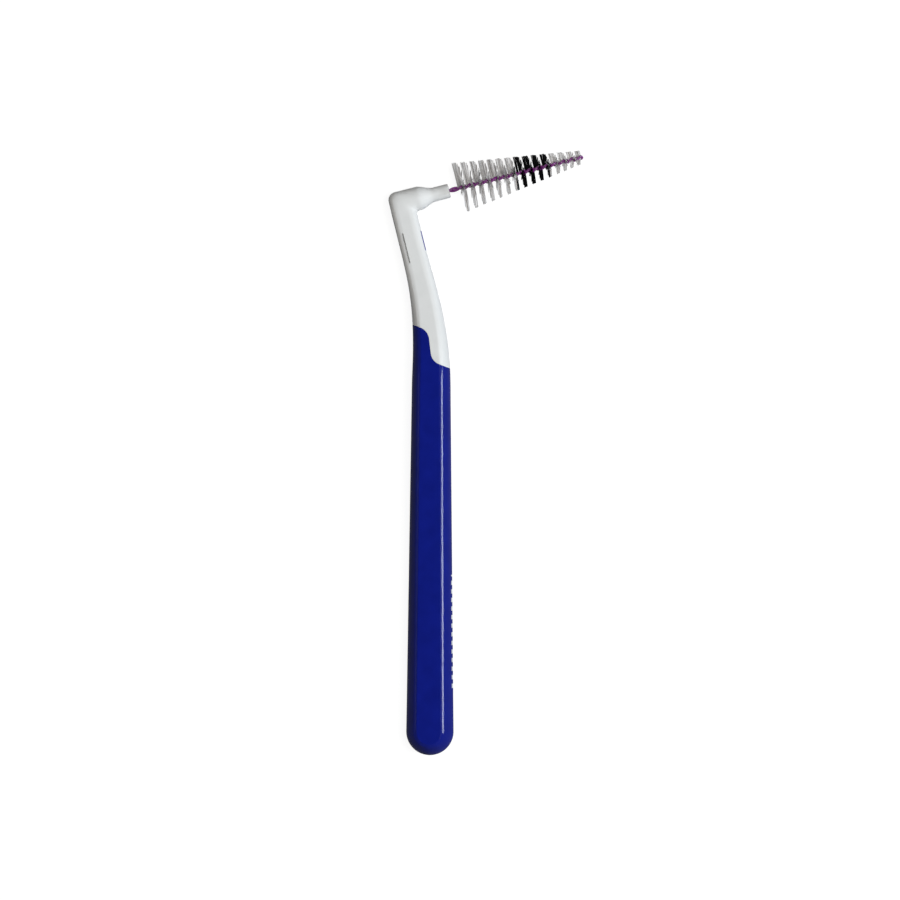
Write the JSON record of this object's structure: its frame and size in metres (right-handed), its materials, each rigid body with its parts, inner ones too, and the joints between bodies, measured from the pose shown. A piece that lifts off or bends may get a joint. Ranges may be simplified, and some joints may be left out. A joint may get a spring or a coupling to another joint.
{
  "type": "interdental brush",
  "caption": "Angled interdental brush: flat-sided grip moulded over a leaning white neck, with a conical brush on a twisted coated wire.",
  "frame": {"origin": "middle of the grip's lower flat side, which the brush lies on", "axes": "+X the way the brush head points, +Y along the grip from butt to elbow, +Z out of the upper flat side"},
  "size_m": [0.0342, 0.1059, 0.0076],
  "materials": {
    "grip_plastic": "smooth glossy dark blue moulding",
    "neck_plastic": "smooth white moulding with a soft sheen",
    "wire_steel": "drawn stainless wire",
    "wire_coating": "thin glossy purple coat",
    "pale_filament": "pale translucent filament",
    "dark_filament": "black filament"
  },
  "bodies": {
    "root": {"grip": "grip_plastic", "neck": "neck_plastic", "wire_core": "wire_steel", "wire_coat": "wire_coating", "bristles_base": "pale_filament", "bristles_middle": "dark_filament", "bristles_tip": "pale_filament"}
  },
  "joints": []
}
